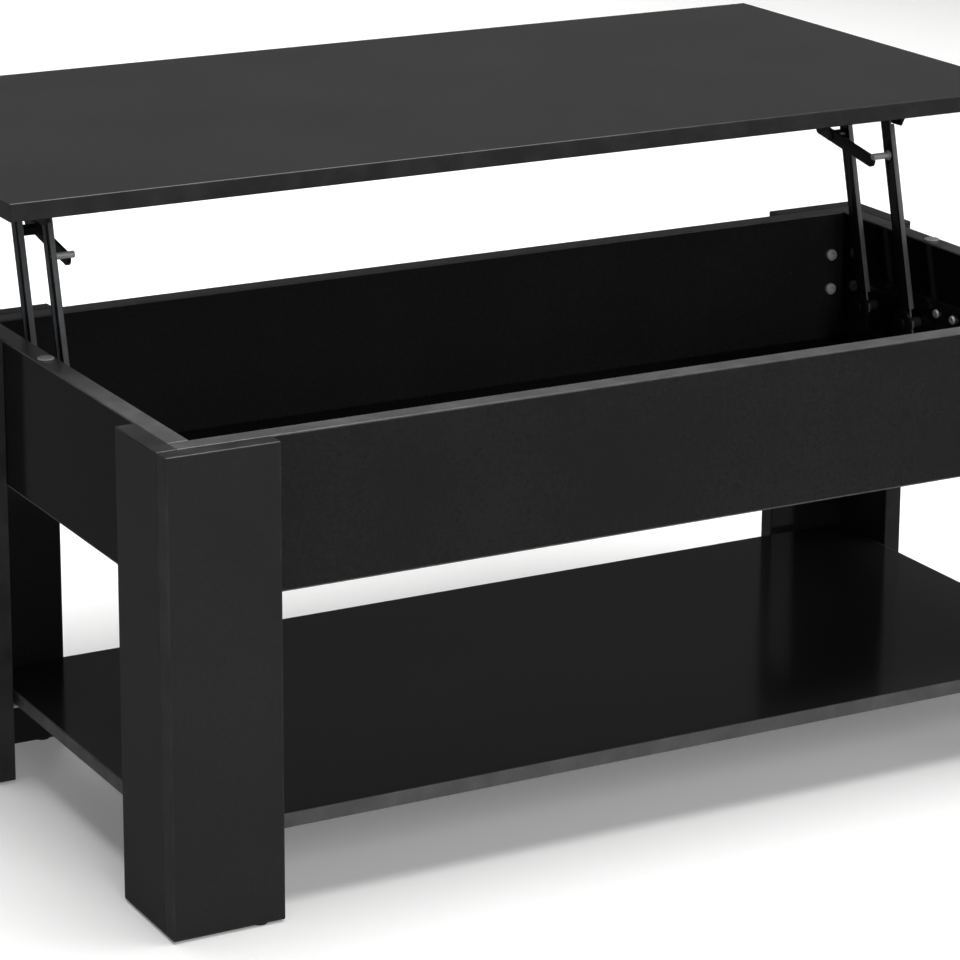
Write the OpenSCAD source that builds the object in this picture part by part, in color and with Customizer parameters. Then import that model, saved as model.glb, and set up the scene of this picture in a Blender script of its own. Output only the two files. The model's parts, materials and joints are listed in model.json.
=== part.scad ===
// Lift top coffee table: a lidded box on four L-shaped legs, with a shelf below.
// The top rides on two parallel-arm lifts and is drawn in its raised, rearward position.
// Millimetres. +X runs along the table, +Z up, and the front is -Y.
// The origin is on the floor, under the middle of the table's box with the top raised.

/* [Top] */
// Length of the top
top_len = 980; // [860:1:1180]
// Depth of the top
top_depth = 480; // [440:1:580]
// Thickness of the top
top_t = 15; // [12:0.5:25]

/* [Legs] */
// Length over the outer faces of the legs
frame_len = 922; // [760:1:1110]
// Depth over the outer faces of the legs
frame_depth = 460; // [380:1:560]
// Height of the legs and of the box rim above the floor
frame_h = 390; // [320:1:470]
// Width of each leg, measured on its front and on its end
leg_w = 95; // [76:1:115]
// Thickness of the leg boards
leg_t = 17; // [14:0.5:21]
// Diameter of the glides under the legs
glide_d = 14; // [10:0.5:14]
// Height of the glides
glide_h = 2; // [1.5:0.5:4]

/* [Box] */
// Height of the four side panels
panel_h = 126; // [120:1:155]
// Thickness of the side panels
panel_t = 18; // [15:0.5:22]
// Thickness of the bottom panel
bottom_t = 6; // [3:0.5:8]
// Width of the rebate that holds the bottom panel
rebate_w = 8; // [6:0.5:10]

/* [Shelf] */
// Thickness of the shelf
shelf_t = 12; // [10:0.5:18]
// Height of the shelf's underside above the floor
shelf_z = 66; // [50:1:120]
// Gap between the shelf's ends and the leg boards
shelf_gap_x = 5; // [2:0.5:8]
// Gap between the shelf's long edges and the leg boards
shelf_gap_y = 8; // [2:0.5:10]

/* [Lift] */
// Length of the lifting arms between pivots
arm_len = 196; // [165:1:200]
// Distance between the two arms of a lift
arm_gap = 70; // [60:1:84]
// Width of an arm
arm_w = 14; // [12:0.5:16]
// Depth of an arm's channel section
arm_depth = 5; // [4:0.5:6]
// Angle of the arms above the horizontal when the top is raised
open_angle = 76; // [68:1:82]
// Depth of the lower pivots below the rim
pivot_below_rim = 76; // [70:1:85]
// Distance from the back panel to the rear lower pivot
pivot_inset = 60; // [50:1:80]
// Depth of the upper pivots below the top
top_drop = 20; // [18:0.5:24]
// Diameter of the pivot pins
pin_d = 8; // [6:0.5:8]
// Radial clearance of the arms on their pins
pin_fit = 0.05; // [0.03:0.01:0.1]
// Thickness of the bracket steel
sheet_t = 2; // [1.5:0.5:3]
// Thickness of the rubber lid bumpers
bumper_t = 1.5; // [1:0.5:3]

/* [Hidden] */
$fn = 48;

board_black = "#26262a";
steel_black = "#17171a";
zinc = "#b9bcc0";
nylon = "#2b2b2d";
clear_rubber = "#d8d8d4";
beech = "#c9a878";
spring_steel = "#6c7076";

// Box walls
wall_x = frame_len / 2 - leg_t;
wall_y = frame_depth / 2 - leg_t;
inner_x = wall_x - panel_t;
inner_y = wall_y - panel_t;
panel_z = frame_h - panel_h;

// Lift geometry, as [y, z] points measured from the middle of the leg frame
pivot_z = frame_h - pivot_below_rim;
rear_base = [inner_y - pivot_inset, pivot_z];
front_base = rear_base - [arm_gap, 0];
arm_dir = [cos(open_angle), sin(open_angle)];
rear_head = rear_base + arm_len * arm_dir;
front_head = front_base + arm_len * arm_dir;
function wedge(a, b) = a[0] * b[1] - a[1] * b[0];
closed_gap = 0.3;
closed_rise = pivot_below_rim + bumper_t + closed_gap - top_drop;
closed_angle = 180 - asin(closed_rise / arm_len);
swing = closed_angle - open_angle;
top_shift = arm_len * (cos(open_angle) - cos(closed_angle));
top_z = rear_head[1] + top_drop;

// The whole table is moved in Y so that its raised box stands centred on the origin
front_reach = frame_depth / 2;
back_reach = top_shift + top_depth / 2;
frame_y = (front_reach - back_reach) / 2;

// Places across a lift, measured inwards from the end panel's inner face
arm_out = 10.5;
web_t = 2;
arm_in = arm_out + arm_depth;
web_out = arm_in - web_t;
side_gap = 0.2;
ear_out = arm_in + 3.5;
ear_in = ear_out + sheet_t;
lever_out = arm_in + 13;
lever_t = 3;
lever_in = lever_out + lever_t;
hanger_out = 6;
hanger_in = hanger_out + sheet_t;
flange_w = 34;

// Room between the lower pivots and the box's bottom, and how much of it the base bracket takes
floor_room = pivot_z - panel_z - bottom_t;
base_clear = max(1, min(12, floor_room - 32));
base_drop = floor_room - base_clear;

// Arms and pins
eye_r = max(arm_w / 2 + 2, pin_d / 2 + 4);
lip_t = 1.5;
head_r = pin_d / 2 + 2;
head_t = 2.5;
bush_r = pin_d / 2 + 1;
tail_len = base_drop - sheet_t - arm_w / 2 - 1;
stud_d = 4;

// Stop lever on the rear arm, whose tip lies below and behind the front arm's stop pin
stop_at = arm_len - 41;
stop_d = 6;
stop_gap = 0.3;
stop_side = 35;
lever_tilt = 10;
lever_w = 11;
lever_back = 19;
lever_dir = [cos(lever_tilt), sin(lever_tilt)];
stop_point = front_base + stop_at * arm_dir;
lever_tip = stop_point + (lever_w / 2 + stop_d / 2 + stop_gap) * [cos(stop_side), -sin(stop_side)];

// Where the lever crosses the rear arm, as distances along the arm and along the lever
cross_at = wedge(lever_tip - rear_base, lever_dir) / wedge(arm_dir, lever_dir);
cross_len = wedge(rear_base - lever_tip, arm_dir) / wedge(lever_dir, arm_dir);
rivet_at = [cross_at];
rivet_d = 6;

// Base bracket
base_front = front_base[0] - 118;
base_back = rear_base[0] + 30;
base_top = pivot_z + 26;
ear_r = 14;
ear_rail = 14;
screw_row_z = pivot_z + 14;
base_screw_y = [base_front + 13, front_base[0] - 52, front_base[0] - 27, rear_base[0] + 18];

// Spring between the front arm's tail and the anchor pin
spring_q = 7.75;
spring_d = 9;
wire_d = 1.8;
anchor = [front_base[0] - 105, pivot_z - base_drop + 8];
tail_point = front_base - tail_len * arm_dir;

// Hanger bracket under the top
hanger_front = front_head[0] - 30;
hanger_back = rear_head[0] + 30;
hanger_low = 12;
top_screw_q = 30;
top_screw_y = [hanger_front + 9, front_head[0] + 14, rear_head[0] - 14, hanger_back - 9];

// Fasteners
bolt_d = 6;
bolt_head_r = 5.5;
bolt_head_t = 3.3;
bolt_drops = [40, 73];
insert_d = 10;
insert_len = 13;
screw_d = 4;
screw_head_r = 4;
screw_head_t = 2.2;
screw_bite = 12;
dowel_d = 8;
dowel_bite = 14;
dowel_drops = [24, 94];
leg_dowel_z = [frame_h * 0.3, frame_h * 0.82];
nail_d = 2.5;
nail_len = 10;
angle_w = 24;
angle_leg = 26;
angle_inset = 20;
bumper_d = panel_t - 4;
bumper_y = front_base[0];
sides = [-1, 1];

// ---- shared helpers ----

// Puts a piece drawn about the middle of the leg frame in its place
module in_place() {
    translate([0, frame_y, 0]) children();
}

// Draws a right-hand piece on the left when side is -1
module on_side(side) {
    mirror([side < 0 ? 1 : 0, 0, 0]) children();
}

// Same piece at each of the four corners, drawn for the one at +X +Y
module at_corners() {
    for (sx = sides, sy = sides)
        mirror([sx < 0 ? 1 : 0, 0, 0]) mirror([0, sy < 0 ? 1 : 0, 0]) children();
}

// Extrudes a [y, z] outline across a lift, from q inwards by t
module plate(q, t) {
    translate([inner_x - q - t, 0, 0]) rotate([90, 0, 90]) linear_extrude(t) children();
}

// Round bar across a lift at a [y, z] point
module bar(point, q_from, q_to, d) {
    translate([inner_x - q_to, point[0], point[1]]) rotate([0, 90, 0]) cylinder(d = d, h = q_to - q_from);
}

// Box from its low and high corners
module slab(low, high) {
    translate(low) cube(high - low);
}

// Pan-head screw along +Z: head below z = 0, shank above it
module screw(len) {
    translate([0, 0, -screw_head_t]) cylinder(r = screw_head_r, h = screw_head_t);
    cylinder(d = screw_d, h = len);
}

// Socket bolt along +Z: head below z = 0 with a hexagon socket, shank above it
module bolt(len) {
    difference() {
        translate([0, 0, -bolt_head_t]) cylinder(r = bolt_head_r, h = bolt_head_t);
        translate([0, 0, -bolt_head_t]) cylinder(r = 2.3, h = 2, $fn = 6);
    }
    cylinder(d = bolt_d, h = len);
}

// ---- fastener places, shared by the fasteners and by their holes ----

// Leg bolts of the +X +Y corner, pointing outwards from the back panel's inner face
module at_leg_bolts() {
    for (drop = bolt_drops)
        translate([frame_len / 2 - leg_w / 2, inner_y, frame_h - drop]) rotate([-90, 0, 0]) children();
}

module bolt_holes() {
    at_corners() at_leg_bolts() cylinder(d = bolt_d, h = panel_t + insert_len);
}

module insert_holes() {
    at_corners() at_leg_bolts() translate([0, 0, panel_t]) cylinder(d = insert_d, h = insert_len);
}

// Dowels of the +X +Y corner, from the end panel into the back panel
module at_dowels() {
    for (drop = dowel_drops)
        translate([inner_x + panel_t / 2, inner_y - dowel_bite, frame_h - drop])
            rotate([-90, 0, 0]) children();
}

module dowel_holes() {
    at_corners() at_dowels() cylinder(d = dowel_d, h = 2 * dowel_bite);
}

// Dowels of the +X +Y leg, from its narrow board into its wide board
module at_leg_dowels() {
    for (z = leg_dowel_z)
        translate([frame_len / 2 - leg_t / 2, wall_y - dowel_bite, z]) rotate([-90, 0, 0]) children();
}

module leg_dowel_holes() {
    at_corners() at_leg_dowels() cylinder(d = dowel_d, h = dowel_bite + leg_t - 5);
}

// Glide centres of the +X +Y leg
module at_glides() {
    translate([frame_len / 2 - leg_w + leg_w / 5, frame_depth / 2 - leg_t / 2, 0]) children();
    translate([frame_len / 2 - leg_t / 2, frame_depth / 2 - leg_w + leg_w / 5, 0]) children();
}

module nail_holes() {
    at_corners() at_glides() cylinder(d = nail_d, h = glide_h + nail_len);
}

// Shelf angles of the +X +Y leg: local +Y points at the leg board, z = 0 is the shelf's underside
module at_angles() {
    translate([frame_len / 2 - leg_w + angle_inset, wall_y, shelf_z]) children();
    translate([wall_x, frame_depth / 2 - leg_w + angle_inset, shelf_z]) rotate([0, 0, -90]) children();
}

// The two screws of a shelf angle
module at_angle_screws() {
    translate([0, -sheet_t, -angle_leg / 2]) rotate([-90, 0, 0]) children();
    translate([0, -angle_leg + 8, -sheet_t]) children();
}

// Short enough to stay inside the shelf and the leg boards
shelf_bite = min(screw_bite, shelf_t, leg_t) - 2;

module shelf_screw_holes() {
    at_corners() at_angles() at_angle_screws() cylinder(d = screw_d, h = sheet_t + shelf_bite);
}

// Screws of the right-hand base bracket, pointing into the end panel
module at_base_screws() {
    for (y = base_screw_y)
        translate([inner_x - sheet_t, y, screw_row_z]) rotate([0, 90, 0]) children();
}

module base_screw_holes() {
    for (side = sides) on_side(side) at_base_screws() cylinder(d = screw_d, h = sheet_t + screw_bite);
}

// Screws of the right-hand top bracket, pointing up into the top
module at_top_screws() {
    for (y = top_screw_y)
        translate([inner_x - top_screw_q, y, top_z - sheet_t]) children();
}

module top_screw_holes() {
    for (side = sides) on_side(side) at_top_screws() cylinder(d = screw_d, h = min(screw_bite, top_t - 2));
}

// ---- boards ----

module lift_top() {
    color(board_black) in_place() difference() {
        slab([-top_len / 2, top_shift - top_depth / 2, top_z],
             [top_len / 2, top_shift + top_depth / 2, top_z + top_t]);
        top_screw_holes();
    }
}

// Long side panel, drawn at the back
module long_panel(side) {
    color(board_black) in_place() difference() {
        mirror([0, side < 0 ? 1 : 0, 0]) difference() {
            slab([-wall_x, inner_y, panel_z], [wall_x, wall_y, frame_h]);
            slab([-inner_x - rebate_w, inner_y - 1, panel_z - 1],
                 [inner_x + rebate_w, inner_y + rebate_w, panel_z + bottom_t]);
        }
        bolt_holes();
        dowel_holes();
    }
}

module front_panel() {
    long_panel(-1);
}

module back_panel() {
    long_panel(1);
}

// End panel, drawn on the right
module end_panel(side) {
    color(board_black) in_place() difference() {
        on_side(side) difference() {
            slab([inner_x, -inner_y, panel_z], [wall_x, inner_y, frame_h]);
            slab([inner_x - 1, -inner_y - 1, panel_z - 1],
                 [inner_x + rebate_w, inner_y + 1, panel_z + bottom_t]);
        }
        bolt_holes();
        dowel_holes();
        base_screw_holes();
    }
}

module left_end_panel() {
    end_panel(-1);
}

module right_end_panel() {
    end_panel(1);
}

module bottom_panel() {
    color(board_black) in_place()
        slab([-inner_x - rebate_w, -inner_y - rebate_w, panel_z],
             [inner_x + rebate_w, inner_y + rebate_w, panel_z + bottom_t]);
}

module shelf() {
    shelf_x = wall_x - shelf_gap_x;
    shelf_y = wall_y - shelf_gap_y;
    color(board_black) in_place() difference() {
        slab([-shelf_x, -shelf_y, shelf_z], [shelf_x, shelf_y, shelf_z + shelf_t]);
        shelf_screw_holes();
    }
}

// Drills everything that a leg board takes
module drill_leg() {
    difference() {
        children();
        insert_holes();
        leg_dowel_holes();
        nail_holes();
        shelf_screw_holes();
    }
}

// Wide board of a leg, which faces the front or the back
module leg_face(sx, sy) {
    color(board_black) in_place() drill_leg()
        mirror([sx < 0 ? 1 : 0, 0, 0]) mirror([0, sy < 0 ? 1 : 0, 0])
            slab([frame_len / 2 - leg_w, wall_y, glide_h], [frame_len / 2, frame_depth / 2, frame_h]);
}

// Narrower board of a leg, which faces the end and butts against the wide one
module leg_side(sx, sy) {
    color(board_black) in_place() drill_leg()
        mirror([sx < 0 ? 1 : 0, 0, 0]) mirror([0, sy < 0 ? 1 : 0, 0])
            slab([wall_x, frame_depth / 2 - leg_w, glide_h], [frame_len / 2, wall_y, frame_h]);
}

module front_left_leg_face() {
    leg_face(-1, -1);
}

module front_left_leg_side() {
    leg_side(-1, -1);
}

module front_right_leg_face() {
    leg_face(1, -1);
}

module front_right_leg_side() {
    leg_side(1, -1);
}

module back_left_leg_face() {
    leg_face(-1, 1);
}

module back_left_leg_side() {
    leg_side(-1, 1);
}

module back_right_leg_face() {
    leg_face(1, 1);
}

module back_right_leg_side() {
    leg_side(1, 1);
}

// ---- fasteners and small parts of the frame ----

module leg_bolts() {
    color(zinc) in_place() at_corners() at_leg_bolts() bolt(panel_t + insert_len - 1);
}

module leg_inserts() {
    color(zinc) in_place() at_corners() at_leg_bolts() translate([0, 0, panel_t]) difference() {
        cylinder(d = insert_d, h = insert_len);
        cylinder(d = bolt_d, h = insert_len);
    }
}

module corner_dowels() {
    color(beech) in_place() at_corners() {
        at_dowels() cylinder(d = dowel_d, h = 2 * dowel_bite);
        at_leg_dowels() cylinder(d = dowel_d, h = dowel_bite + leg_t - 5);
    }
}

module glides() {
    color(steel_black) in_place() at_corners() at_glides() {
        cylinder(d = glide_d, h = glide_h);
        cylinder(d = nail_d, h = glide_h + nail_len);
    }
}

module lid_bumpers() {
    color(clear_rubber) in_place() for (side = sides) on_side(side)
        translate([inner_x + panel_t / 2, bumper_y, frame_h]) cylinder(d = bumper_d, h = bumper_t);
}

module shelf_brackets() {
    color(zinc) in_place() at_corners() at_angles() difference() {
        union() {
            slab([-angle_w / 2, -sheet_t, -angle_leg], [angle_w / 2, 0, 0]);
            slab([-angle_w / 2, -angle_leg, -sheet_t], [angle_w / 2, 0, 0]);
        }
        at_angle_screws() cylinder(d = screw_d, h = sheet_t);
    }
}

module shelf_screws() {
    color(zinc) in_place() at_corners() at_angles() at_angle_screws() screw(sheet_t + shelf_bite);
}

// ---- lift: base ----

// Outline of the flange against the end panel, with cut corners
module base_outline() {
    cut = 12;
    polygon([
        [base_front, pivot_z - base_drop], [base_back, pivot_z - base_drop],
        [base_back, base_top - cut], [base_back - cut, base_top],
        [base_front + cut, base_top], [base_front, base_top - cut]
    ]);
}

// Outline of the inner flange: a low rail with an ear round each pivot and the spring anchor
module ear_outline() {
    rail_low = pivot_z - base_drop;
    translate([base_front, rail_low]) square([base_back - base_front, ear_rail]);
    for (base = [front_base, rear_base]) {
        translate(base) circle(r = ear_r);
        translate([base[0] - ear_r, rail_low]) square([2 * ear_r, base_drop]);
    }
}

module base_bracket(side) {
    color(steel_black) in_place() on_side(side) difference() {
        union() {
            plate(0, sheet_t) base_outline();
            plate(ear_out, sheet_t) ear_outline();
            slab([inner_x - ear_in, base_front, pivot_z - base_drop],
                 [inner_x, base_back, pivot_z - base_drop + sheet_t]);
        }
        for (base = [front_base, rear_base]) bar(base, -1, ear_in + 1, pin_d);
        bar(anchor, -1, ear_in + 1, stud_d);
        at_base_screws() cylinder(d = screw_d, h = sheet_t);
    }
}

module left_base_bracket() {
    base_bracket(-1);
}

module right_base_bracket() {
    base_bracket(1);
}

module base_screws() {
    color(zinc) in_place() for (side = sides) on_side(side) at_base_screws() screw(sheet_t + screw_bite);
}

// Pivot pins and spring anchor pins of both lifts
module base_pins() {
    color(steel_black) in_place() for (side = sides) on_side(side) {
        for (base = [front_base, rear_base]) {
            bar(base, 0, ear_in, pin_d);
            bar(base, ear_in, ear_in + head_t, 2 * head_r);
        }
        bar(anchor, 0, ear_in, stud_d);
        bar(anchor, ear_in, ear_in + 1.5, 1.6 * stud_d);
    }
}

// Ring round a pin that keeps an arm in its place across the lift
module bush(point, q_from, q_to) {
    difference() {
        bar(point, q_from, q_to, 2 * bush_r);
        bar(point, q_from - 1, q_to + 1, pin_d);
    }
}

module base_bushes() {
    color(nylon) in_place() for (side = sides) on_side(side) for (base = [front_base, rear_base]) {
        bush(base, sheet_t, web_out - side_gap);
        bush(base, arm_in + side_gap, ear_out);
    }
}

// ---- lift: arms ----

// Arm outline with its lower pivot at the origin, lying along +X of the outline
module arm_outline(tail) {
    circle(r = eye_r);
    translate([arm_len, 0]) circle(r = eye_r);
    translate([-tail, -arm_w / 2]) square([arm_len + tail, arm_w]);
    if (tail > 0) translate([-tail, 0]) circle(d = arm_w);
}

// The two folded lips of an arm
module lip_outline() {
    lip_from = eye_r + 4;
    for (v = [-arm_w / 2, arm_w / 2 - lip_t])
        translate([lip_from, v]) square([arm_len - 2 * lip_from, lip_t]);
}

// Channel arm on a base point, with its holes given as distances along it
module arm(side, base, tail, hole_at, hole_d) {
    color(steel_black) in_place() on_side(side) difference() {
        union() {
            plate(web_out, web_t) translate(base) rotate(open_angle) arm_outline(tail);
            plate(arm_out, arm_depth - web_t) translate(base) rotate(open_angle) lip_outline();
        }
        for (pivot = [base, base + arm_len * arm_dir]) bar(pivot, arm_out, arm_in + 1, pin_d + 2 * pin_fit);
        for (at = hole_at) bar(base + at * arm_dir, arm_out, arm_in + 1, hole_d);
    }
}

module left_rear_arm() {
    arm(-1, rear_base, 0, rivet_at, rivet_d);
}

module right_rear_arm() {
    arm(1, rear_base, 0, rivet_at, rivet_d);
}

// Front arm: its stop pin and spring stud are separate pieces, set in two more holes
module front_arm(side) {
    difference() {
        arm(side, front_base, tail_len, [stop_at], stop_d);
        in_place() on_side(side) bar(tail_point, arm_out, arm_in + 1, stud_d);
    }
}

module left_front_arm() {
    front_arm(-1);
}

module right_front_arm() {
    front_arm(1);
}

// Slim lever with round ends
module lever_outline() {
    translate(lever_tip) rotate(lever_tilt) {
        circle(d = lever_w);
        translate([0, -lever_w / 2]) square([cross_len + lever_back, lever_w]);
        translate([cross_len + lever_back, 0]) circle(d = lever_w);
    }
}

// Lever with the welded boss and rivet that hold it off the rear arm
module stop_lever(side) {
    color(steel_black) in_place() on_side(side) {
        plate(lever_out, lever_t) lever_outline();
        for (at = rivet_at) {
            bar(rear_base + at * arm_dir, web_out, lever_out, rivet_d);
            bar(rear_base + at * arm_dir, arm_in, lever_out, 1.6 * rivet_d);
            bar(rear_base + at * arm_dir, lever_in, lever_in + 1.5, 1.6 * rivet_d);
        }
    }
}

module left_stop_lever() {
    stop_lever(-1);
}

module right_stop_lever() {
    stop_lever(1);
}

// Stop pin that reaches past the lever, and the spring stud on the same arm's tail
module stop_pin(side) {
    color(zinc) in_place() on_side(side) {
        bar(stop_point, web_out, lever_in + 2, stop_d);
        bar(stop_point, arm_in, arm_in + 1.5, 1.6 * stop_d);
        bar(tail_point, spring_q - wire_d, arm_in, stud_d);
    }
}

module left_stop_pin() {
    stop_pin(-1);
}

module right_stop_pin() {
    stop_pin(1);
}

// ---- lift: top bracket ----

module hanger_outline() {
    cut = 14;
    low = rear_head[1] - hanger_low;
    polygon([
        [hanger_front, top_z], [hanger_front, top_z - 8], [hanger_front + cut, low],
        [hanger_back - cut, low], [hanger_back, top_z - 8], [hanger_back, top_z]
    ]);
}

module top_bracket(side) {
    color(steel_black) in_place() on_side(side) difference() {
        union() {
            plate(hanger_out, sheet_t) hanger_outline();
            slab([inner_x - hanger_out - flange_w, hanger_front, top_z - sheet_t],
                 [inner_x - hanger_out, hanger_back, top_z]);
        }
        for (head = [front_head, rear_head]) bar(head, hanger_out - 1, hanger_in + 1, pin_d);
        at_top_screws() cylinder(d = screw_d, h = sheet_t);
    }
}

module left_top_bracket() {
    top_bracket(-1);
}

module right_top_bracket() {
    top_bracket(1);
}

module top_screws() {
    color(zinc) in_place() for (side = sides) on_side(side) at_top_screws() screw(min(screw_bite, top_t - 2));
}

module top_pins() {
    color(steel_black) in_place() for (side = sides) on_side(side) for (head = [front_head, rear_head]) {
        bar(head, hanger_out, arm_in + side_gap, pin_d);
        bar(head, arm_in + side_gap, arm_in + side_gap + head_t, 2 * head_r);
    }
}

module top_bushes() {
    color(nylon) in_place() for (side = sides) on_side(side) for (head = [front_head, rear_head])
        bush(head, hanger_in, web_out - side_gap);
}

// ---- lift: spring ----

// End loop round a pin, in the plane of the arms
module spring_eye(point) {
    translate([inner_x - spring_q, point[0], point[1]]) rotate([0, 90, 0])
        rotate_extrude() translate([stud_d / 2 + wire_d / 2 + 0.1, 0]) circle(d = wire_d, $fn = 24);
}

// Close-wound coil body with a straight end and an eye at each pin
module spring(side) {
    span = tail_point - anchor;
    len = norm(span);
    lean = atan2(span[1], span[0]);
    reach = stud_d / 2 + wire_d / 2 + 0.1;
    color(spring_steel) in_place() on_side(side) {
        spring_eye(anchor);
        spring_eye(tail_point);
        translate([inner_x - spring_q, anchor[0], anchor[1]]) rotate([lean, 0, 0]) rotate([-90, 0, 0]) {
            translate([0, 0, reach + wire_d / 4]) cylinder(d = wire_d, h = len - 2 * reach - wire_d / 2);
            translate([0, 0, 9]) cylinder(d = spring_d, h = len - 32);
        }
    }
}

module left_spring() {
    spring(-1);
}

module right_spring() {
    spring(1);
}

lift_top();
front_panel();
back_panel();
left_end_panel();
right_end_panel();
bottom_panel();
shelf();
front_left_leg_face();
front_left_leg_side();
front_right_leg_face();
front_right_leg_side();
back_left_leg_face();
back_left_leg_side();
back_right_leg_face();
back_right_leg_side();
leg_bolts();
leg_inserts();
corner_dowels();
glides();
lid_bumpers();
shelf_brackets();
shelf_screws();
left_base_bracket();
right_base_bracket();
base_screws();
base_pins();
base_bushes();
left_rear_arm();
right_rear_arm();
left_front_arm();
right_front_arm();
left_stop_lever();
right_stop_lever();
left_stop_pin();
right_stop_pin();
left_top_bracket();
right_top_bracket();
top_screws();
top_pins();
top_bushes();
left_spring();
right_spring();
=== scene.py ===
import json
import math

import bmesh
import bpy
from mathutils import Matrix, Vector

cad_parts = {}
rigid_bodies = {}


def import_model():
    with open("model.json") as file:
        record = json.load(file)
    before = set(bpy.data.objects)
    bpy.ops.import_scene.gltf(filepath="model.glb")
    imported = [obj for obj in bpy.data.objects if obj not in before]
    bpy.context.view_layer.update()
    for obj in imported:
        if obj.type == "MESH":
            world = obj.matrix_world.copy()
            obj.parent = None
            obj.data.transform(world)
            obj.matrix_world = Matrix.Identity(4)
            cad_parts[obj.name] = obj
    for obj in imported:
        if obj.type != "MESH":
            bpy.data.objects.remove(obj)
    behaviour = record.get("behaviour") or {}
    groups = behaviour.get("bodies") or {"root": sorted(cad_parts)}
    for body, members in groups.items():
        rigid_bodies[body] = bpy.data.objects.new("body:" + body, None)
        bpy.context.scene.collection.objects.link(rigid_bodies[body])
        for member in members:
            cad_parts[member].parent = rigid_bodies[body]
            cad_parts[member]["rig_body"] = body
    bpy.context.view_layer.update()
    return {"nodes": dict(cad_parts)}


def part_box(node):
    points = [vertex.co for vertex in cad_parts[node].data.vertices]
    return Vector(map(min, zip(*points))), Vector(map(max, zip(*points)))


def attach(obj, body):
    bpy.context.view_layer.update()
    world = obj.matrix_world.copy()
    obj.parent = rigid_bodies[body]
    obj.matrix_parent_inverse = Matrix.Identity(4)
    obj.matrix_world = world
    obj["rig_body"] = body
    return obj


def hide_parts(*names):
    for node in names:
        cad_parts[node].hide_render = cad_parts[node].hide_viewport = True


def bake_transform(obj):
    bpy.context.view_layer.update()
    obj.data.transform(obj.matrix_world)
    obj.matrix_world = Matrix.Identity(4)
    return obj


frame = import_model()
scene = bpy.context.scene
mm = 0.001
print("loaded the frame:", len(frame["nodes"]), "nodes")


# The camera, the lights and the floor.
view = {
    "place": (-1.5359, -2.7924, 1.2092),
    "pitch": 15.31,  # degrees below the horizontal
    "yaw": -27.66,
    "lens": 141.2,
    "shift": (0.073, -0.146),
    "sensor": 36,
    "clipEnd": 200,
}
cameraData = bpy.data.cameras.new("camera")
cameraData.lens = view["lens"]
cameraData.sensor_width = view["sensor"]
cameraData.shift_x, cameraData.shift_y = view["shift"]
cameraData.clip_end = view["clipEnd"]
camera = bpy.data.objects.new("camera", cameraData)
camera.location = view["place"]
camera.rotation_euler = (math.radians(90 - view["pitch"]), 0, math.radians(view["yaw"]))
scene.collection.objects.link(camera)
scene.camera = camera
scene.view_settings.view_transform = "Standard"


def linear(hexColour):
    parts = [int(hexColour[i:i + 2], 16) / 255 for i in (1, 3, 5)]
    return tuple(p / 12.92 if p <= 0.04045 else ((p + 0.055) / 1.055) ** 2.4 for p in parts) + (1.0,)


def addNode(tree, kind, sockets=(), **settings):
    node = tree.nodes.new(kind)
    for name, value in settings.items():
        setattr(node, name, value)
    for name, value in dict(sockets).items():
        if isinstance(value, bpy.types.NodeSocket):
            tree.links.new(value, node.inputs[name])
        else:
            node.inputs[name].default_value = value
    return node


studio = {
    "room": 0.075,  # dim grey room that the gloss mirrors
    "floor": "#f9f9f8",
    "floorGlow": 0.15,  # keeps the far floor, past the lights, as pale as the rest
    "lights": {  # place, size in metres, watts
        "overhead": ((0.3, 0.2, 3.2), 3.4, 166),
        "frontLeft": ((-0.5, -4.6, 2.4), 2.6, 86),
        "frontRight": ((3.2, -2.4, 1.6), 2.2, 16),
        "behind": ((1.0, 3.6, 1.8), 2.6, 40),
    },
    "mirrored": ("overhead", "frontRight"),  # the others would glare in the flat boards
    "aim": (0, 0, 0.3),
    "floorRoughness": 0.9,
    "floorReach": 30,
    "backdropRadius": 29,
    "backdropHeight": 40,
    "white": (1, 1, 1, 1),
    "black": (0, 0, 0, 1),
}
world = bpy.data.worlds.new("studio")
world.use_nodes = True
scene.world = world
background = world.node_tree.nodes["Background"]
background.inputs["Color"].default_value = studio["white"]
background.inputs["Strength"].default_value = studio["room"]

for lightName, (place, size, watts) in studio["lights"].items():
    lightData = bpy.data.lights.new(lightName, "AREA")
    lightData.shape = "DISK"
    lightData.size = size
    lightData.energy = watts
    light = bpy.data.objects.new(lightName, lightData)
    light.location = place
    aim = Vector(studio["aim"]) - Vector(place)
    light.rotation_euler = aim.to_track_quat("-Z", "Y").to_euler()
    light.visible_glossy = lightName in studio["mirrored"]
    scene.collection.objects.link(light)


def addStage(name, mesh, rays, sockets):
    material = bpy.data.materials.new(name)
    material.use_nodes = True
    for socket, value in sockets.items():
        material.node_tree.nodes["Principled BSDF"].inputs[socket].default_value = value
    data = bpy.data.meshes.new(name)
    mesh.to_mesh(data)
    mesh.free()
    data.materials.append(material)
    stage = bpy.data.objects.new(name, data)
    scene.collection.objects.link(stage)
    for ray in rays:
        setattr(stage, ray, False)


floorMesh = bmesh.new()
bmesh.ops.create_grid(floorMesh, x_segments=1, y_segments=1, size=studio["floorReach"])
addStage("floor", floorMesh, ("visible_glossy",), {
    "Base Color": linear(studio["floor"]), "Roughness": studio["floorRoughness"],
    "Emission Color": studio["white"], "Emission Strength": studio["floorGlow"]})

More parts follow.
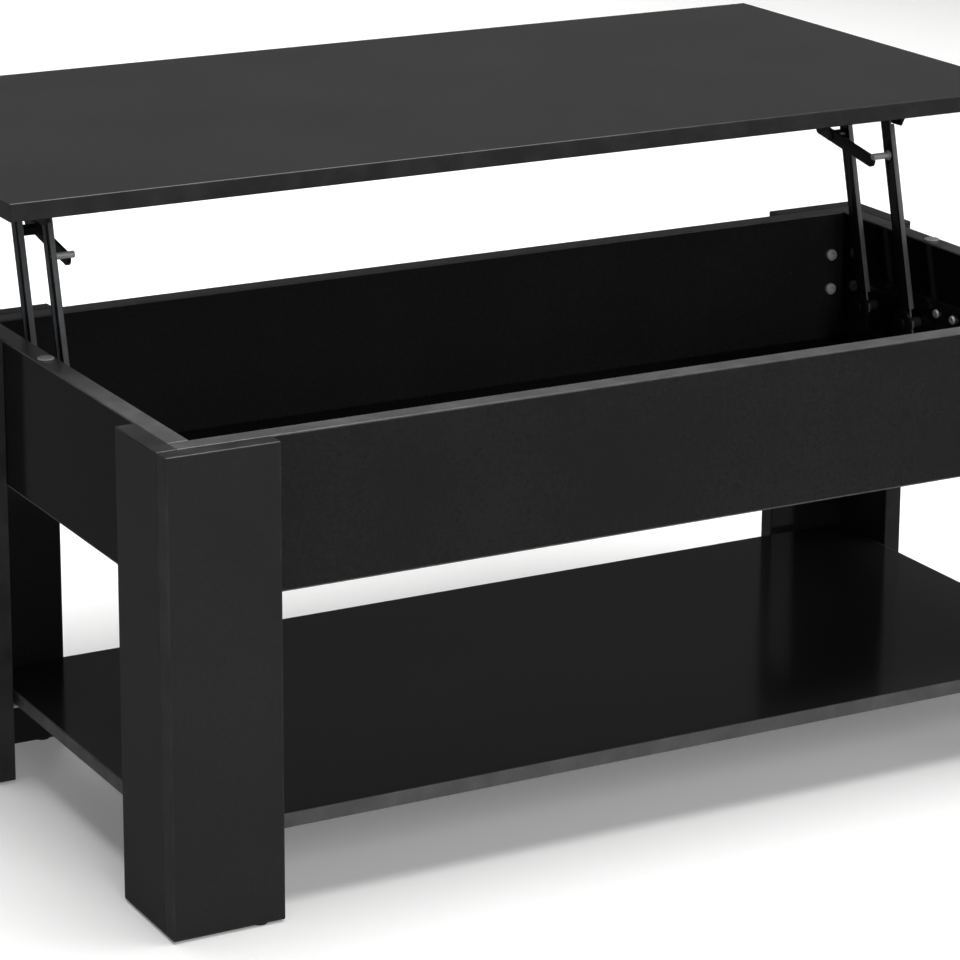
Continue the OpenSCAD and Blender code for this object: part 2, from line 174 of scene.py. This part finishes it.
backdropMesh = bmesh.new()
bmesh.ops.create_cone(backdropMesh, segments=64, radius1=studio["backdropRadius"],
                      radius2=studio["backdropRadius"], depth=studio["backdropHeight"])
hidden = ("visible_glossy", "visible_diffuse", "visible_transmission", "visible_shadow")
addStage("backdrop", backdropMesh, hidden, {
    "Base Color": studio["black"], "Specular IOR Level": 0,
    "Emission Color": studio["white"], "Emission Strength": 1.0})
print("camera, lights and floor are set")


# Materials. Each is one pattern of patches that shifts its colour and its gloss, with a relief on most.
# Sizes and depths are in mm; "spread" and "over" say which part of the pattern the change runs over.
def perMetre(sizeInMm):
    return 1000 / sizeInMm


def makeSurface(name, dark, light, look):
    material = bpy.data.materials.new(name)
    material.use_nodes = True
    tree = material.node_tree
    shader = tree.nodes["Principled BSDF"]
    place = addNode(tree, "ShaderNodeTexCoord").outputs["Object"]
    if "stretch" in look:
        place = addNode(tree, "ShaderNodeMapping", {"Vector": place, "Scale": look["stretch"]}).outputs[0]
    patch = addNode(tree, "ShaderNodeTexNoise", {
        "Vector": place, "Scale": perMetre(look["patch"]), "Detail": look["detail"],
        "Roughness": look.get("contrast", 0.5)}).outputs["Fac"]
    tint = patch
    if "speckle" in look:
        speckle = addNode(tree, "ShaderNodeTexNoise", {
            "Vector": place, "Scale": perMetre(look["speckle"]), "Detail": 2.0, "Roughness": 0.6})
        tint = addNode(tree, "ShaderNodeMath", {0: patch, 1: speckle.outputs["Fac"]},
                       operation="MULTIPLY").outputs[0]
    if "spread" in look:
        low, high = look["spread"]
        tint = addNode(tree, "ShaderNodeMapRange", {
            "Value": tint, "From Min": low, "From Max": high, "To Min": 0.0, "To Max": 1.0}).outputs[0]
    colour = addNode(tree, "ShaderNodeMix", {0: tint, 6: linear(dark), 7: linear(light)}, data_type="RGBA")
    tree.links.new(colour.outputs[2], shader.inputs["Base Color"])
    smooth, rough = look["roughness"]
    low, high = look.get("over", (0.0, 1.0))
    gloss = addNode(tree, "ShaderNodeMapRange", {
        "Value": patch, "From Min": low, "From Max": high, "To Min": smooth, "To Max": rough})
    tree.links.new(gloss.outputs[0], shader.inputs["Roughness"])
    if "relief" in look:
        size, detail, strength, depth = look["relief"]
        bumps = addNode(tree, "ShaderNodeTexNoise", {
            "Vector": place, "Scale": perMetre(size), "Detail": detail})
        relief = addNode(tree, "ShaderNodeBump", {
            "Height": bumps.outputs["Fac"], "Strength": strength, "Distance": depth * mm})
        tree.links.new(relief.outputs["Normal"], shader.inputs["Normal"])
    for socket in ("IOR", "Metallic"):
        if socket in look:
            shader.inputs[socket].default_value = look[socket]
    return material


# Melamine-faced chipboard: a hard black film pressed smooth, so it is dark with a clear sheen.
melamine = {"patch": 140, "detail": 3.0, "contrast": 0.55, "speckle": 3.2, "spread": (0.15, 0.38),
            "roughness": (0.11, 0.15), "over": (0.3, 0.7), "relief": (2.6, 1.0, 0.5, 0.003), "IOR": 1.5}
legFilm = makeSurface("blackMelamine", "#262627", "#2a2a2b", melamine)
boxFilm = makeSurface("boxMelamine", "#1f1f20", "#232324", melamine)
# Painted shade: the end panels get a darker copy of the film, standing in for the shade under the top's
# overhang and beside the legs.
endShadeFilm = makeSurface("endMelaminePaintedShade", "#0d0d0d", "#111111", melamine)
# Painted shade: the shelf gets a darker copy of the film, standing in for the shade under the box.
shelfShadeFilm = makeSurface("shelfMelaminePaintedShade", "#1c1c1d", "#202021", melamine)
# Painted shade: the box's bottom gets a near-black copy of the film, standing in for the shade inside the
# box.
bottomShadeFilm = makeSurface("bottomMelaminePaintedShade", "#0b0b0b", "#0f0f0f", melamine)

# ABS edge band: extruded plastic with rolled corners, a little lighter and duller than the film.
absEdge = {"patch": 24, "detail": 4.0, "contrast": 0.6, "spread": (0.4, 0.68), "roughness": (0.16, 0.26),
           "over": (0.3, 0.7), "relief": (1.6, 1.0, 0.4, 0.01), "IOR": 1.54}
darkBand = makeSurface("blackAbsEdge", "#2b2b2c", "#353536", absEdge)
# Painted highlight: the panels' and shelf's edge band is a lighter grey copy of the band, standing in for
# the light caught along their rims.
rimHighlightBand = makeSurface("absEdgePaintedHighlight", "#4b4b4c", "#555556", absEdge)

# Hot-melt glue line between a face and its edge band: a hairline, darker and dull.
glueLine = makeSurface("glueLine", "#0b0b0c", "#161617", {
    "patch": 1.5, "detail": 2.0, "roughness": (0.7, 0.7)})

# Powder-coated steel: sprayed and baked, so it is black with a fine orange-peel gloss.
powderCoat = makeSurface("blackPowderCoat", "#101012", "#19191b", {
    "patch": 30, "detail": 3.0, "roughness": (0.2, 0.3), "over": (0.3, 0.7),
    "relief": (1.8, 2.0, 0.6, 0.02), "IOR": 1.5})

# Front-facing edges of the arms: a painted highlight, light grey standing in for the light that the black
# powder-coated folds catch.
armEdgeHighlight = makeSurface("armEdgePaintedHighlight", "#4c4e51", "#6c6e72", {
    "patch": 9, "detail": 4.0, "roughness": (0.32, 0.46)})

# Blackened pins: turned steel dipped in hot oxide, so it is near black with a dull metal sheen.
blackOxide = makeSurface("blackOxide", "#1b1b1d", "#2b2b2e", {
    "patch": 5, "detail": 3.0, "roughness": (0.34, 0.5), "Metallic": 0.6})

# Zinc-plated steel: electroplated and passivated, a pale chalky silver with faint blue and straw patches.
zincPlate = makeSurface("zincPlate", "#c6c9ce", "#d9d7cf", {
    "patch": 6, "detail": 4.0, "roughness": (0.3, 0.45), "over": (0.3, 0.7),
    "relief": (0.9, 2.0, 0.3, 0.01), "Metallic": 0.4})

# Oiled spring wire: drawn steel, dark grey with a tight gloss.
springWire = makeSurface("springWire", "#4a4d52", "#767a80", {
    "patch": 2.2, "detail": 3.0, "roughness": (0.22, 0.38), "over": (0.3, 0.7),
    "Metallic": 1.0})

# Black nylon bush: moulded and waxy, with faint flow marks.
nylon = makeSurface("blackNylon", "#202022", "#303032", {
    "patch": 4, "detail": 2.0, "roughness": (0.36, 0.5), "IOR": 1.53})

# Clear polyurethane bumper: cast; its pale grey is a painted highlight, standing in for the glint on the
# clear dome over the black rim.
clearRubberPaintedHighlight = makeSurface("clearRubberPaintedHighlight", "#b2b2ae", "#cacac6", {
    "patch": 3, "detail": 2.0, "roughness": (0.2, 0.32), "IOR": 1.5})

# Black polypropylene glide: moulded, matt and slightly grained.
blackPlastic = makeSurface("blackPolypropylene", "#161617", "#222224", {
    "patch": 1.2, "detail": 3.0, "roughness": (0.42, 0.58), "relief": (1.2, 3.0, 0.4, 0.04)})

# Beech dowel: turned and fluted, pale brown with short dark flecks along the grain.
beech = makeSurface("beech", "#a9855a", "#d1b184", {
    "patch": 2.5, "detail": 4.0, "stretch": (1, 0.15, 1), "roughness": (0.6, 0.6)})
print("materials are made")


# Helpers that the pieces share.
def addPiece(name, mesh, materials, body, node, smoothAngle=None):
    if smoothAngle is not None:
        for face in mesh.faces:
            face.smooth = True
        for edge in mesh.edges:
            edge.smooth = edge.is_manifold and edge.calc_face_angle(0) < math.radians(smoothAngle)
    data = bpy.data.meshes.new(name)
    mesh.to_mesh(data)
    mesh.free()
    for material in materials:
        data.materials.append(material)
    piece = bpy.data.objects.new(name, data)
    scene.collection.objects.link(piece)
    if body:
        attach(piece, body)
    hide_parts(node)
    return piece


def bodyOf(node):
    return frame["nodes"][node]["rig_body"]


def camelCase(node):
    first, *others = node.split("_")
    return first + "".join(word.capitalize() for word in others)


def makeBlock(low, high):
    block = bmesh.new()
    bmesh.ops.create_cube(block, size=1)
    bmesh.ops.scale(block, verts=block.verts, vec=high - low)
    bmesh.ops.translate(block, verts=block.verts, vec=(low + high) / 2)
    return block


# Boards.
board = {
    "cornerRadius": 0.9,
    "cornerSegments": 3,
    "bandShows": 0.5,  # how much of the band's thickness shows past its rounded corner
    "glueWidth": 0.16,
    "glueDepth": 0.08,
}
filmIndex, bandIndex, glueIndex = range(3)


# A film on the two wide faces, edge band round the rest, and the glue line between them, let in a hair.
def makeBoard(node):
    low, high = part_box(node)
    if node == "bottom_panel":  # what shows of it between the four panels
        low.x, high.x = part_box("left_end_panel")[1].x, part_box("right_end_panel")[0].x
        low.y, high.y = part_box("front_panel")[1].y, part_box("back_panel")[0].y
    mesh = makeBlock(low, high)
    bmesh.ops.bevel(mesh, geom=mesh.edges[:], offset=board["cornerRadius"] * mm,
                    segments=board["cornerSegments"], profile=0.5, affect="EDGES", material=-1)
    for face in mesh.faces:
        face.material_index = bandIndex
    for face in sorted(mesh.faces, key=lambda face: face.calc_area())[-2:]:
        bmesh.ops.inset_region(mesh, faces=[face], thickness=board["bandShows"] * mm,
                               use_even_offset=True)
        for depth in (-board["glueDepth"], board["glueDepth"]):
            ring = bmesh.ops.inset_region(mesh, faces=[face], thickness=board["glueWidth"] * mm / 2,
                                          depth=depth * mm, use_even_offset=True)
            for strip in ring["faces"]:
                strip.material_index = glueIndex
        face.material_index = filmIndex
    return mesh


boards = {
    "topBoard": ("lift_top", legFilm, darkBand),
    "frontPanel": ("front_panel", boxFilm, rimHighlightBand),
    "backPanel": ("back_panel", boxFilm, rimHighlightBand),
    "leftEndPanel": ("left_end_panel", endShadeFilm, rimHighlightBand),
    "rightEndPanel": ("right_end_panel", endShadeFilm, rimHighlightBand),
    "bottomPanel": ("bottom_panel", bottomShadeFilm, darkBand),
    "shelfBoard": ("shelf", shelfShadeFilm, rimHighlightBand),
}
for end in ("front", "back"):
    for side in ("left", "right"):
        for part in ("face", "side"):
            node = "_".join((end, side, "leg", part))
            boards[camelCase(node)] = (node, legFilm, darkBand)
for pieceName, (node, film, band) in boards.items():
    addPiece(pieceName, makeBoard(node), (film, band, glueLine), bodyOf(node), node)
print("boards are made")


# Pressed steel, moulded and turned parts, with the small rounded edges that pressing and plating leave.
# Pins and bushes lie a little inside their drawn surface, so that they turn freely.
rounding = {  # radius, segments, and how far inside
    "sheet": (0.35, 2, 0.0),
    "plating": (0.15, 2, 0.0),
    "pin": (0.7, 2, 0.06),
    "bush": (0.3, 2, 0.06),
    "bumper": (1.0, 4, 0.0),
    "glide": (0.7, 2, 0.0),
    "dowel": (0.8, 2, 0.0),
}
weldWithin = 0.002
flatWithin = 0.6  # degrees
foldOver = 30
smoothUnder = 35
highlightFacing = -0.9  # Y of the normals of the arms' front edges, which get the painted highlight


def weldedCopy(node):
    mesh = bmesh.new()
    mesh.from_mesh(frame["nodes"][node].data)
    bmesh.ops.remove_doubles(mesh, verts=mesh.verts, dist=weldWithin * mm)
    return mesh


def makeRounded(node, radius, segments, ease):
    mesh = weldedCopy(node)
    bmesh.ops.dissolve_limit(mesh, angle_limit=math.radians(flatWithin), verts=mesh.verts,
                             edges=mesh.edges)
    bmesh.ops.recalc_face_normals(mesh, faces=mesh.faces)
    mesh.normal_update()
    for vert in mesh.verts:
        vert.co -= vert.normal * ease * mm
    sharp = [edge for edge in mesh.edges
             if edge.is_manifold and edge.calc_face_angle(0) > math.radians(foldOver)]
    bmesh.ops.bevel(mesh, geom=sharp, offset=radius * mm, segments=segments, profile=0.5,
                    affect="EDGES", material=-1, clamp_overlap=True)
    return mesh


roundedParts = {}
for part in ("base_bracket", "top_bracket", "rear_arm", "front_arm", "stop_lever"):
    for side in ("left", "right"):
        roundedParts[side + "_" + part] = ("sheet", powderCoat, "black_steel")
roundedParts |= {
    "base_pins": ("pin", blackOxide, "black_steel"),
    "top_pins": ("pin", blackOxide, "black_steel"),
    "left_stop_pin": ("pin", zincPlate, "zinc_steel"),
    "right_stop_pin": ("pin", zincPlate, "zinc_steel"),
    "leg_inserts": ("plating", zincPlate, "zinc_steel"),
    "shelf_brackets": ("sheet", zincPlate, "zinc_steel"),
    "base_bushes": ("bush", nylon, "nylon"),
    "top_bushes": ("bush", nylon, "nylon"),
    "lid_bumpers": ("bumper", clearRubberPaintedHighlight, "clear_rubber"),
    "glides": ("glide", blackPlastic, "black_plastic"),
    "corner_dowels": ("dowel", beech, "beech"),
}
for node, (edgeKind, material, slotName) in roundedParts.items():
    rounded = makeRounded(node, *rounding[edgeKind])
    materials = [material]
    # The arms' front-facing faces take the painted highlight.
    if node.endswith("_arm"):
        materials.append(armEdgeHighlight)
        for face in rounded.faces:
            face.material_index = int(face.normal.y < highlightFacing)
    addPiece(camelCase(node), rounded, materials, bodyOf(node), node, smoothUnder)
print("brackets, arms, pins and bushes are made")


# Screws and bolts, with a driven recess in each head, where the frame's own fasteners are.
# "head" and "shank" are radii, "crown" the flat's radius, "reach" the recess's radius.
screws = {
    "pan": {"head": 4.0, "crown": 2.7, "height": 2.2, "shank": 2.0, "recess": 1.3, "taper": 0.55,
            "reach": 1.9, "slot": 0.45},
    "socket": {"head": 5.5, "crown": 4.3, "height": 3.3, "shank": 3.0, "recess": 2.0, "taper": 0.96,
               "reach": 2.3},
}
headSteps = 32


def recessOutline(size):
    reach = size["reach"]
    if "slot" not in size:  # hexagon
        turns = [math.radians(60 * k) for k in range(6)]
        return [(reach * math.cos(turn), reach * math.sin(turn)) for turn in turns]
    slot = size["slot"]  # cross, one arm at a time
    arm = [(reach, -slot), (reach, slot), (slot, slot)]
    cross = []
    for k in range(4):
        cross += arm
        arm = [(-y, x) for x, y in arm]
    return cross


def makeScrew(size, length):
    mesh = bmesh.new()
    head, crown, height, shank = (size[key] * mm for key in ("head", "crown", "height", "shank"))
    # the domed head from its flat, the shank and the point
    profile = [(crown, -height), (crown + 0.6 * (head - crown), -0.86 * height), (head, -0.45 * height),
               (head, -0.1 * height), (0.97 * head, 0), (shank, 0), (shank, length - shank),
               (0.25 * shank, length), (0, length)]
    chain = [mesh.verts.new((r, 0, z)) for r, z in profile]
    edges = [mesh.edges.new(pair) for pair in zip(chain, chain[1:])]
    bmesh.ops.spin(mesh, geom=chain + edges, cent=(0, 0, 0), axis=(0, 0, 1), angle=math.tau,
                   steps=headSteps, use_merge=True)
    bmesh.ops.remove_doubles(mesh, verts=mesh.verts, dist=weldWithin * mm)
    rim = [edge for edge in mesh.edges if edge.is_boundary]
    mouth = [mesh.verts.new((x * mm, y * mm, -height)) for x, y in recessOutline(size)]
    lip = [mesh.edges.new((mouth[k - 1], mouth[k])) for k in range(len(mouth))]
    bmesh.ops.triangle_fill(mesh, edges=rim + lip, use_beauty=True)
    deeper = bmesh.ops.extrude_edge_only(mesh, edges=lip)["geom"]
    foot = [item for item in deeper if isinstance(item, bmesh.types.BMVert)]
    bmesh.ops.scale(mesh, verts=foot, vec=(size["taper"], size["taper"], 1))
    bmesh.ops.translate(mesh, verts=foot, vec=(0, 0, size["recess"] * mm))
    footEdges = [item for item in deeper if isinstance(item, bmesh.types.BMEdge)
                 and item.verts[0] in foot and item.verts[1] in foot]
    bmesh.ops.edgeloop_fill(mesh, edges=footEdges)
    bmesh.ops.recalc_face_normals(mesh, faces=mesh.faces)
    return mesh


# The boxes of a node's separate solids.
def findSolids(node):
    mesh = weldedCopy(node)
    waiting = set(mesh.verts)
    boxes = []
    for first in mesh.verts:
        if first not in waiting:
            continue
        waiting.discard(first)
        group = [first]
        for vert in group:
            for edge in vert.link_edges:
                other = edge.other_vert(vert)
                if other in waiting:
                    waiting.discard(other)
                    group.append(other)
        boxes.append([Vector(pick(vert.co[axis] for vert in group) for axis in range(3))
                      for pick in (min, max)])
    mesh.free()
    return boxes


# Upright screws point up; the others point out from the middle of the table.
def placeScrews(node, size):
    middle = sum(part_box("shelf"), Vector()) / 2
    together = bmesh.new()
    for low, high in findSolids(node):
        axis = max(range(3), key=lambda k: high[k] - low[k])
        centre = (low + high) / 2
        way = Vector((0, 0, 0))
        way[axis] = 1 if axis == 2 or centre[axis] > middle[axis] else -1
        span = high[axis] - low[axis]
        origin = centre + way * (size["height"] * mm - span / 2)
        screw = makeScrew(size, span - size["height"] * mm)
        turn = way.to_track_quat("Z", "Y").to_matrix().to_4x4()
        bmesh.ops.transform(screw, verts=screw.verts, matrix=Matrix.Translation(origin) @ turn)
        single = bpy.data.meshes.new("screw")
        screw.to_mesh(single)
        screw.free()
        together.from_mesh(single)
        bpy.data.meshes.remove(single)
    return together


for node in ("leg_bolts", "shelf_screws", "base_screws", "top_screws"):
    size = screws["socket" if node == "leg_bolts" else "pan"]
    addPiece(camelCase(node), placeScrews(node, size), [zincPlate], bodyOf(node), node,
             smoothUnder)
print("screws and bolts are made")


# Tension springs: close-wound wire with a loop at each end, from the base bracket to the front arm's tail.
spring = {
    "wire": 1.8,
    "coil": 9.0,
    "pitch": 1.86,
    "stud": 4.2,
    "lead": 9.0,  # from the anchor to the coil
    "tail": 23.0,  # from the coil to the stud
    "turnPoints": 14,
    "hookPoints": 23,
    "hookStep": 15,  # degrees
    "hookStarts": (-60, 270),
    "roundness": 2,
    "smoothUnder": 60,
}


def centreOf(solid):
    return (solid[0] + solid[1]) / 2


def makeSpring(side):
    low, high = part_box(side + "_spring")
    across = (low.x + high.x) / 2
    pins = [centreOf(solid) for solid in findSolids("base_pins")]
    anchor = min((pin for pin in pins if pin.x * across > 0), key=lambda pin: pin.y)
    stud = min((centreOf(solid) for solid in findSolids(side + "_stop_pin")), key=lambda pin: pin.z)
    anchor.x = stud.x = across
    reach = (spring["stud"] + spring["wire"]) / 2 * mm
    along = (stud - anchor).normalized()
    up = Vector((1, 0, 0)).cross(along)
    length = (stud - anchor).length
    radius = (spring["coil"] - spring["wire"]) / 2 * mm
    hooks = []
    for start, centre in zip(spring["hookStarts"], (0, length)):
        hooks.append([])
        for step in range(spring["hookPoints"]):
            angle = math.radians(start + spring["hookStep"] * step)
            hooks[-1].append(along * (centre + reach * math.cos(angle)) + up * (reach * math.sin(angle)))
    coils = []
    coilLength = length - (spring["lead"] + spring["tail"]) * mm
    turns = round(coilLength / (spring["pitch"] * mm))
    for step in range(turns * spring["turnPoints"] + 1):
        angle = math.tau * step / spring["turnPoints"]
        risen = spring["lead"] * mm + coilLength * step / (turns * spring["turnPoints"])
        coils.append(along * risen - up * (radius * math.cos(angle))
                     + Vector((radius * math.sin(angle), 0, 0)))
    path = hooks[0] + coils + hooks[1]
    curve = bpy.data.curves.new("wire", "CURVE")
    curve.dimensions = "3D"
    curve.bevel_depth = spring["wire"] / 2 * mm
    curve.bevel_resolution = spring["roundness"]
    curve.use_fill_caps = True
    line = curve.splines.new("POLY")
    line.points.add(len(path) - 1)
    for point, place in zip(line.points, path):
        point.co = (*(anchor + place), 1)
    holder = bpy.data.objects.new("wire", curve)
    swept = bpy.data.meshes.new_from_object(holder)
    mesh = bmesh.new()
    mesh.from_mesh(swept)
    bmesh.ops.remove_doubles(mesh, verts=mesh.verts, dist=weldWithin * mm)
    bmesh.ops.recalc_face_normals(mesh, faces=mesh.faces)
    for spare in (holder, curve):
        bpy.data.batch_remove([spare])
    bpy.data.meshes.remove(swept)
    coilEnd = anchor + along * (length - spring["tail"] * mm)
    return mesh, coilEnd, stud - along * reach


# The spring is fixed to no body and baked in place; its stud end does not follow the arm.
for side in ("left", "right"):
    springMesh, coilEnd, studSide = makeSpring(side)
    springPiece = addPiece(side + "Spring", springMesh, [springWire], None,
                           side + "_spring", spring["smoothUnder"])
    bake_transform(springPiece)
print("springs are made")
